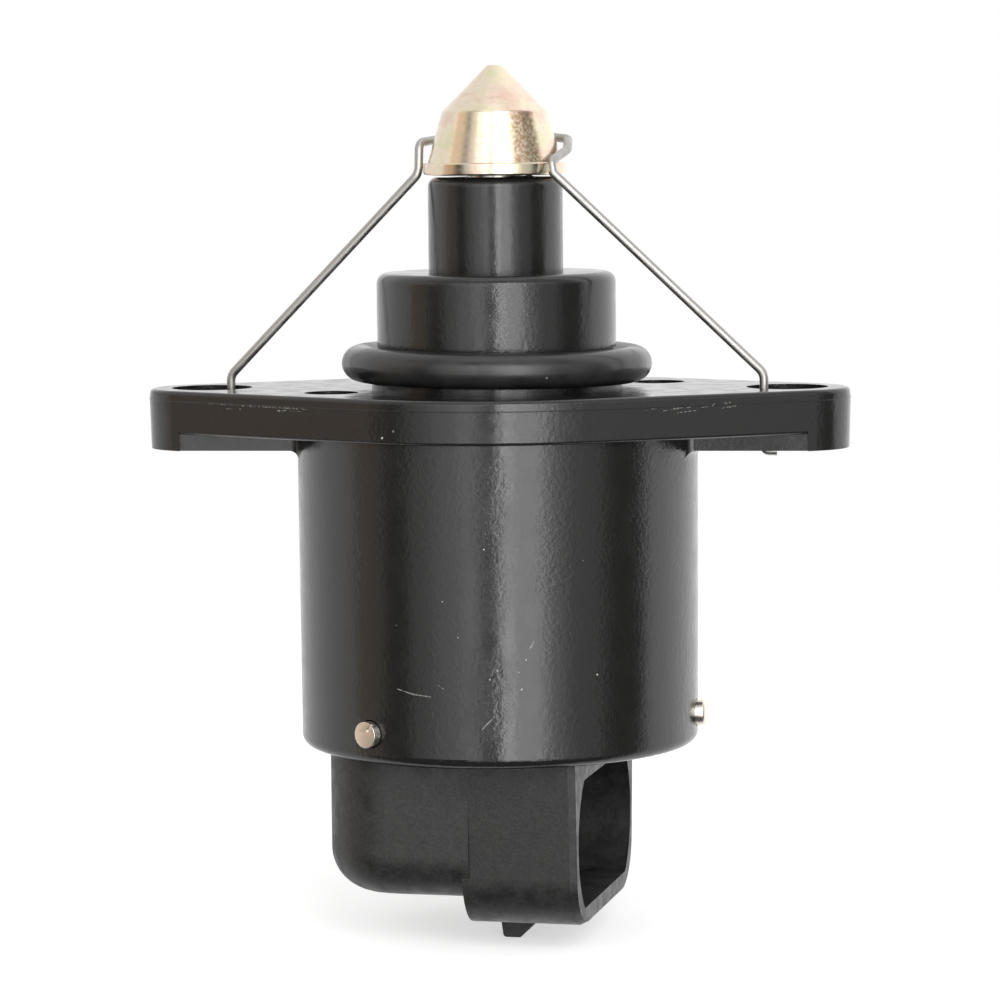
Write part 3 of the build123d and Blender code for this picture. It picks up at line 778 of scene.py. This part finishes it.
HOUSING_BLACK = make_housing_black()
CAP_BLACK = make_cap_black()
RUBBER = make_rubber()
ZINC_STEEL = make_zinc_steel()
COPPER = make_winding()
NYLON = make_nylon()
SPRING_STEEL = make_metal("clip_spring_steel", (0.42, 0.41, 0.39), 0.42, 3200.0, 0.001, spot=0.15)
BRIGHT_STEEL = make_metal("ground_steel", (0.70, 0.68, 0.64), 0.26, 6200.0, 0.003, rings=9000.0)
PIN_STEEL = make_metal(
    "pin_bright_steel", (0.78, 0.73, 0.64), 0.32, 2600.0, 0.012, tint=(0.32, 0.22, 0.13), spot=0.6
)
STATOR_STEEL = make_metal(
    "stator_pressed_steel", (0.58, 0.58, 0.56), 0.36, 1800.0, 0.008, tint=(0.36, 0.34, 0.3)
)
MAGNET = make_metal("magnet_sintered_ferrite", (0.10, 0.10, 0.11), 0.55, 3200.0, 0.02)
TIN = make_metal(
    "terminal_tin_plate", (0.74, 0.72, 0.66), 0.3, 2400.0, 0.006, tint=(0.5, 0.46, 0.36)
)
BRONZE = make_metal("bush_sintered_bronze", (0.56, 0.38, 0.19), 0.45, 3800.0, 0.015)

# Each CAD node's material and the name of the slot it shows in.
NODE_FINISHES = {
    "housing": (HOUSING_BLACK, "housing_black"),
    "seal_ring": (RUBBER, "rubber_black"),
    "pintle": (ZINC_STEEL, "zinc_steel"),
    "lead_screw": (BRIGHT_STEEL, "bright_steel"),
    "guide_bush": (NYLON, "natural_nylon"),
    "pintle_spring": (SPRING_STEEL, "spring_steel"),
    "bearing_outer_ring": (BRIGHT_STEEL, "bright_steel"),
    "bearing_inner_ring": (BRIGHT_STEEL, "bright_steel"),
    "bearing_balls": (BRIGHT_STEEL, "bright_steel"),
    "bearing_cage": (STATOR_STEEL, "stator_steel"),
    "preload_washer": (SPRING_STEEL, "spring_steel"),
    "rotor_hub": (NYLON, "natural_nylon"),
    "rotor_magnet": (MAGNET, "magnet_grey"),
    "upper_stator_cup": (STATOR_STEEL, "stator_steel"),
    "upper_stator_plate": (STATOR_STEEL, "stator_steel"),
    "lower_stator_plate": (STATOR_STEEL, "stator_steel"),
    "lower_stator_cup": (STATOR_STEEL, "stator_steel"),
    "upper_bobbin": (NYLON, "natural_nylon"),
    "lower_bobbin": (NYLON, "natural_nylon"),
    "upper_coil": (COPPER, "copper_wire"),
    "lower_coil": (COPPER, "copper_wire"),
    "terminal_1": (TIN, "tinned_brass"),
    "terminal_2": (TIN, "tinned_brass"),
    "terminal_3": (TIN, "tinned_brass"),
    "terminal_4": (TIN, "tinned_brass"),
    "connector_cap": (CAP_BLACK, "cap_black"),
    "cap_seal": (RUBBER, "rubber_black"),
    "retaining_pins": (PIN_STEEL, "bright_steel"),
    "rear_bush": (BRONZE, "sintered_bronze"),
    "thrust_washer": (STATOR_STEEL, "stator_steel"),
    "wire_clip": (SPRING_STEEL, "spring_steel"),
}

for node_name, (material, slot_name) in NODE_FINISHES.items():
    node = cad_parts[node_name]
    node.data.materials.clear()
    node.data.materials.append(material)


def finish_piece(piece, material, body):
    """Gives a new piece its material, and lets it ride on a body."""
    place_in_mesh(piece)
    piece.data.materials.clear()
    piece.data.materials.append(material)
    if body:
        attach(piece, body)


# The cone

CONE_ROUNDS = {2: 0.2, 3: 0.12, 4: 0.06, 5: 0.3, 6: 0.5}
cone_profile = rounded(
    [
        (STEM_R, STEM_TOP),
        (STEM_R, CONE_LOW),
        (CONE_RIM_R, CONE_LOW),
        (CONE_RIM_R, CONE_RIM_TOP),
        (CONE_BASE_R, CONE_RIM_TOP),
        (CONE_MID_R, CONE_MID_Z),
        (CONE_TIP_R, CONE_TIP_Z),
        (0, CONE_TIP_Z),
    ],
    CONE_ROUNDS,
)
cone = turned_piece("plated_cone", [(0, STEM_TOP), *cone_profile], 192)
smooth(cone, 24)
finish_piece(cone, ZINC_STEEL, "plunger")
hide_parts("pintle")

# The flange's flash line

FLASH_R = 0.05


def flange_outline(height, steps=18):
    """Points round the flange: its two ears and its round middle."""
    quarter = 90 - degrees(FLANGE_LEAN)
    route = []
    for centre, radius, first, last in (
        (HOLE_X, EAR_R, -quarter, quarter),
        (0, FLANGE_MID_R, quarter, 180 - quarter),
        (-HOLE_X, EAR_R, 180 - quarter, 180 + quarter),
        (0, FLANGE_MID_R, 180 + quarter, 360 - quarter),
    ):
        for i in range(steps + 1):
            x, y, z = polar(radius, first + (last - first) * i / steps, height)
            route.append((centre + x, y, z))
    return [*route, route[0]]


flash = wire_piece("flange_flash_line", flange_outline(PARTING_Z), FLASH_R, closed=True, sides=3)
smooth(flash, 60)
finish_piece(flash, HOUSING_BLACK, "valve_body")

# The seal ring

# The mould's flash line stands proud round the outside by this share of the radius.
RING_FLASH = 0.0009
SAME_HEIGHT = 0.01

clear_selection()
bpy.ops.mesh.primitive_torus_add(
    major_segments=192,
    minor_segments=40,
    major_radius=RING_MID_R * MM,
    minor_radius=RING_SECTION_R * MM,
    location=(0, 0, RING_Z * MM),
    rotation=(0, radians(RING_TILT), 0),
)
ring = named("nose_seal_ring")
edit(ring)
to_object_mode()
for vertex in ring.data.vertices:
    reach = sqrt(vertex.co.x ** 2 + vertex.co.y ** 2)
    vertex.select = abs(vertex.co.z) < SAME_HEIGHT * MM and reach > RING_MID_R * MM
pick(ring)
bpy.ops.object.mode_set(mode="EDIT")
bpy.ops.transform.resize(value=(1 + RING_FLASH, 1 + RING_FLASH, 1.0))
to_object_mode()
place_in_mesh(ring)
smooth(ring, 60)
finish_piece(ring, RUBBER, "valve_body")
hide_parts("seal_ring")

# The wire clip

# The feet stand by the holes' walls, and the middle runs round behind the cone.
CLIP_GAP = 0.1
LEFT_FOOT_TURN = 67.0
LEFT_FOOT_Z = -4.3
LEFT_KNEE_Z = 0.9
RIGHT_FOOT_TURN = 232.0
RIGHT_FOOT_Z = -5.3
RIGHT_KNEE_Z = 1.3
HOOK_REACH = 1.1
HOOK_DROP = 0.05
CLIP_RISE = 2.2
CLIP_BENDS = (1.2, 1.3, 0.8, 2.0, 3.0, 3.0, 2.0, 1.5, 0.5, 0.45, 1.3, 0.45)

foot_r = HOLE_R - WIRE_R - CLIP_GAP
left_x, left_y, _ = polar(foot_r, LEFT_FOOT_TURN, 0)
right_x, right_y, _ = polar(foot_r, RIGHT_FOOT_TURN, 0)
side_r = CONE_RIM_R + WIRE_R + CLIP_GAP
over_r = side_r - 0.2
over_z = CONE_RIM_TOP + CLIP_RISE
clip_route = [
    (left_x - HOLE_X, left_y, LEFT_FOOT_Z),
    (left_x - HOLE_X, left_y, LEFT_KNEE_Z),
    polar(side_r, 180, CONE_RIM_TOP - 0.9),
    polar(side_r + 0.05, 174, over_z - 0.45),
    polar(over_r, 135, over_z - 0.05),
    polar(over_r, 95, over_z + 0.05),
    polar(over_r, 55, over_z),
    polar(over_r, 17, over_z - 0.25),
    polar(over_r + 0.1, -12, over_z - 1.15),
    polar(side_r + 0.1, -38, CONE_RIM_TOP + 0.15),
    polar(side_r + 0.4, -39, CONE_RIM_TOP - 0.85),
    (right_x + HOLE_X, right_y, RIGHT_KNEE_Z),
    (right_x + HOLE_X, right_y, RIGHT_FOOT_Z),
    (right_x + HOLE_X + HOOK_REACH, right_y, RIGHT_FOOT_Z - HOOK_DROP),
]
clip_path = rounded(clip_route, dict(enumerate(CLIP_BENDS, start=1)), 8)
clip = wire_piece("spring_wire_clip", clip_path, WIRE_R)
smooth(clip, 40)
finish_piece(clip, SPRING_STEEL, "clip")
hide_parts("wire_clip")

# The pintle's spring

# The end coils lie closer together than the middle ones.
SPRING_TURNS = 5
STEPS_PER_TURN = 28
SPRING_GAP = 0.02
SPRING_EASE = 0.35

spring_low = GUIDE_TOP + SPRING_WIRE_R + SPRING_GAP
spring_high = CONE_LOW - SPRING_WIRE_R - SPRING_GAP
spring_steps = SPRING_TURNS * STEPS_PER_TURN
spring_route = []
for i in range(spring_steps + 1):
    share = i / spring_steps
    eased = share * share * (3 - 2 * share) * SPRING_EASE + share * (1 - SPRING_EASE)
    z = spring_low + (spring_high - spring_low) * eased
    spring_route.append(polar(SPRING_MID_R, 360 * SPRING_TURNS * share, z))
spring = wire_piece("play_spring", spring_route, SPRING_WIRE_R, sides=4)
smooth(spring, 50)
finish_piece(spring, SPRING_STEEL, None)
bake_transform(spring)
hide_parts("pintle_spring")

# The cross pins

# How wide a pin's edge is broken, less on the pin whose end has a notch.
PIN_BREAK = 0.3
NOTCHED_BREAK = 0.12
NOTCH_SIDE = (0.55, 0.75)
NOTCH_SIZE = (0.2, 1.1, 0.5)
NOTCH_TURN = -38.0


def cross_pin(name, azimuth, notched):
    """A ground pin with broken edges, in its place in the wall."""
    clear_selection()
    bpy.ops.mesh.primitive_cylinder_add(vertices=64, radius=PIN_R * MM, depth=PIN_LENGTH * MM)
    pin = named(name)
    if notched:
        clear_selection()
        bpy.ops.mesh.primitive_cube_add(size=1, location=Vector((*NOTCH_SIDE, PIN_LENGTH / 2)) * MM)
        cutter = bpy.context.object
        cutter.scale = Vector(NOTCH_SIZE) * MM
        cutter.rotation_euler = (0, 0, radians(NOTCH_TURN))
        cut = pin.modifiers.new("notch", "BOOLEAN")
        cut.operation = "DIFFERENCE"
        cut.object = cutter
        pick(pin)
        bpy.ops.object.modifier_apply(modifier="notch")
        bpy.data.objects.remove(cutter)
    pick(pin)
    broken = pin.modifiers.new("broken_edge", "BEVEL")
    broken.width = (NOTCHED_BREAK if notched else PIN_BREAK) * MM
    broken.segments = 4
    broken.limit_method = "ANGLE"
    broken.angle_limit = radians(60)
    bpy.ops.object.modifier_apply(modifier="broken_edge")
    outward = Vector((cos(radians(azimuth)), sin(radians(azimuth)), 0))
    turn = outward.to_track_quat("Z", "Y").to_matrix().to_4x4()
    middle = outward * ((PIN_OUT_R - PIN_LENGTH / 2) * MM) + Vector((0, 0, PIN_Z * MM))
    pin.matrix_world = Matrix.Translation(middle) @ turn
    place_in_mesh(pin)
    smooth(pin, 40)
    finish_piece(pin, PIN_STEEL, "valve_body")
    return pin


pins = [
    cross_pin("cross_pin_right", PIN_TURN, False),
    cross_pin("cross_pin_back", PIN_TURN + 120, False),
    cross_pin("cross_pin_left", PIN_TURN + 240, True),
]
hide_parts("retaining_pins")

# The camera


def view_axes(turn, rise, roll):
    """Right, up and backward directions of a camera that looks at the object."""
    a, e = radians(turn), radians(rise)
    back = Vector((sin(a) * cos(e), -cos(a) * cos(e), sin(e)))
    right = Vector((cos(a), sin(a), 0))
    up = back.cross(right)
    r = radians(roll)
    return cos(r) * right + sin(r) * up, cos(r) * up - sin(r) * right, back


right_axis, up_axis, back_axis = view_axes(VIEW_TURN, VIEW_RISE, VIEW_ROLL)
eye = Vector((0, 0, VIEW_AIM_Z)) + back_axis * VIEW_DISTANCE
camera_data = bpy.data.cameras.new("photo_camera")
camera_data.sensor_width = SENSOR
camera_data.lens = VIEW_FOCAL_PIXELS / IMAGE_PIXELS * SENSOR
camera_data.shift_x = -VIEW_SHIFT_PIXELS / IMAGE_PIXELS
camera_data.clip_start = 0.01
camera_data.clip_end = 20.0
camera = bpy.data.objects.new("photo_camera", camera_data)
bpy.context.scene.collection.objects.link(camera)
pose = Matrix((right_axis, up_axis, back_axis)).transposed().to_4x4()
pose.translation = eye * MM
camera.matrix_world = pose
bpy.context.scene.camera = camera

# The light

# How far off the panels stand, in metres, and how far down and up they reach, in degrees.
PANEL_DISTANCE = 0.9
WALL = (-24.0, 40.0)


def soft_panel(name, sides, rises, radiance, color=(1, 1, 1)):
    """A soft light that spans angles to the right of the camera and above the horizon."""
    a, e = radians(VIEW_TURN + sum(sides) / 2), radians(sum(rises) / 2)
    away = Vector((sin(a) * cos(e), -cos(a) * cos(e), sin(e)))
    data = bpy.data.lights.new(name, "AREA")
    data.shape = "RECTANGLE"
    data.size = 2 * PANEL_DISTANCE * tan(radians(sides[1] - sides[0]) / 2)
    data.size_y = 2 * PANEL_DISTANCE * tan(radians(rises[1] - rises[0]) / 2)
    data.energy = radiance * pi * data.size * data.size_y
    data.color = color
    light = bpy.data.objects.new(name, data)
    bpy.context.scene.collection.objects.link(light)
    light.location = away * PANEL_DISTANCE
    light.rotation_euler = away.to_track_quat("Z", "Y").to_euler()


# Strips of soft light stand side by side like a wall, each as bright as its reflection needs.
soft_panel("key_edge_panel", (0.6, 8.2), WALL, 8.0)
soft_panel("key_panel", (9.4, 27.0), WALL, 4.5)
soft_panel("key_shoulder", (27.0, 39.0), WALL, 1.5)
soft_panel("right_panel", (39.0, 62.0), WALL, 0.62)
soft_panel("seam_panel", (-10.0, -1.5), WALL, 0.5)
soft_panel("strip_panel", (-22.0, -10.0), WALL, 2.4)
soft_panel("left_panel", (-38.0, -22.0), WALL, 1.4)
soft_panel("left_shoulder", (-52.0, -38.0), WALL, 0.7)
soft_panel("warm_card", (-93.0, -68.0), WALL, 0.6, (1.0, 0.73, 0.53))
soft_panel("top_panel", (-18.0, 18.0), (68.0, 88.0), 0.95)


def make_world():
    """White behind the object, dim in front, lighter overhead, and plain white to the camera."""
    world = bpy.data.worlds.new("studio")
    bpy.context.scene.world = world
    world.use_nodes = True
    world.node_tree.nodes.clear()
    desk = Desk(world.node_tree)
    direction = desk.node("ShaderNodeTexCoord").outputs["Generated"]
    a = radians(VIEW_TURN)
    forward = desk.vector("DOT_PRODUCT", direction, (-sin(a), cos(a), 0.0), output=1)
    rightward = desk.vector("DOT_PRODUCT", direction, (cos(a), sin(a), 0.0), output=1)
    height = desk.axis(direction, "Z")
    white = desk.smoothstep(rightward, -0.6, 0.8, 1.0, 1.4)
    front = desk.smoothstep(height, 0.12, 0.45, 0.05, 0.5)
    overhead = desk.smoothstep(height, 0.6, 0.9, 0.0, 0.25)
    ceiling = desk.math("ADD", front, overhead)
    seen = desk.mix(desk.smoothstep(forward, -0.02, 0.08), ceiling, white)
    light_path = desk.node("ShaderNodeLightPath").outputs
    plain = desk.mix(light_path["Is Diffuse Ray"], seen, (0.42, 0.42, 0.42))
    shown = desk.mix(light_path["Is Camera Ray"], plain, (1.0, 1.0, 1.0))
    sky = desk.node("ShaderNodeBackground", {"Color": shown})
    desk.node("ShaderNodeOutputWorld", {"Surface": sky.outputs[0]})


# The floor's radius, and where it starts and stops fading, in metres.
FLOOR_R = 0.3
FLOOR_FADE = (0.09, 0.26)


def make_floor():
    """A pale round floor that fades out, under the lock ramp."""
    clear_selection()
    middle = (0, 0, FLOOR_Z * MM)
    bpy.ops.mesh.primitive_circle_add(vertices=96, radius=FLOOR_R, fill_type="NGON", location=middle)
    floor = named("pale_floor")
    place_in_mesh(floor)
    material = bpy.data.materials.new("pale_floor")
    material.use_nodes = True
    material.node_tree.nodes.clear()
    desk = Desk(material.node_tree)
    place = desk.node("ShaderNodeTexCoord").outputs["Object"]
    flat = desk.vector("MULTIPLY", place, (1.0, 1.0, 0.0))
    reach = desk.vector("LENGTH", flat, output=1)
    fade = desk.smoothstep(reach, *FLOOR_FADE)
    light_path = desk.node("ShaderNodeLightPath").outputs
    grain = desk.noise(place, 60.0, 3.0)
    tone = desk.mix(desk.smoothstep(grain, 0.3, 0.7), (0.80, 0.80, 0.80), (0.83, 0.83, 0.83))
    matt = desk.node("ShaderNodeBsdfDiffuse", {"Color": tone})
    glow = desk.times(light_path["Is Camera Ray"], 0.55)
    lift = desk.node("ShaderNodeEmission", {"Strength": glow})
    lit = desk.node("ShaderNodeAddShader", {0: matt.outputs[0], 1: lift.outputs[0]})
    clear = desk.node("ShaderNodeBsdfTransparent")
    hidden = desk.math("MAXIMUM", fade, light_path["Is Glossy Ray"])
    surface = desk.node("ShaderNodeMixShader", {0: hidden, 1: lit.outputs[0], 2: clear.outputs[0]})
    desk.node("ShaderNodeOutputMaterial", {"Surface": surface.outputs[0]})
    floor.data.materials.append(material)


make_world()
make_floor()

view = bpy.context.scene.view_settings
view.view_transform = "Standard"

# The end

clear_selection()
bpy.context.view_layer.update()
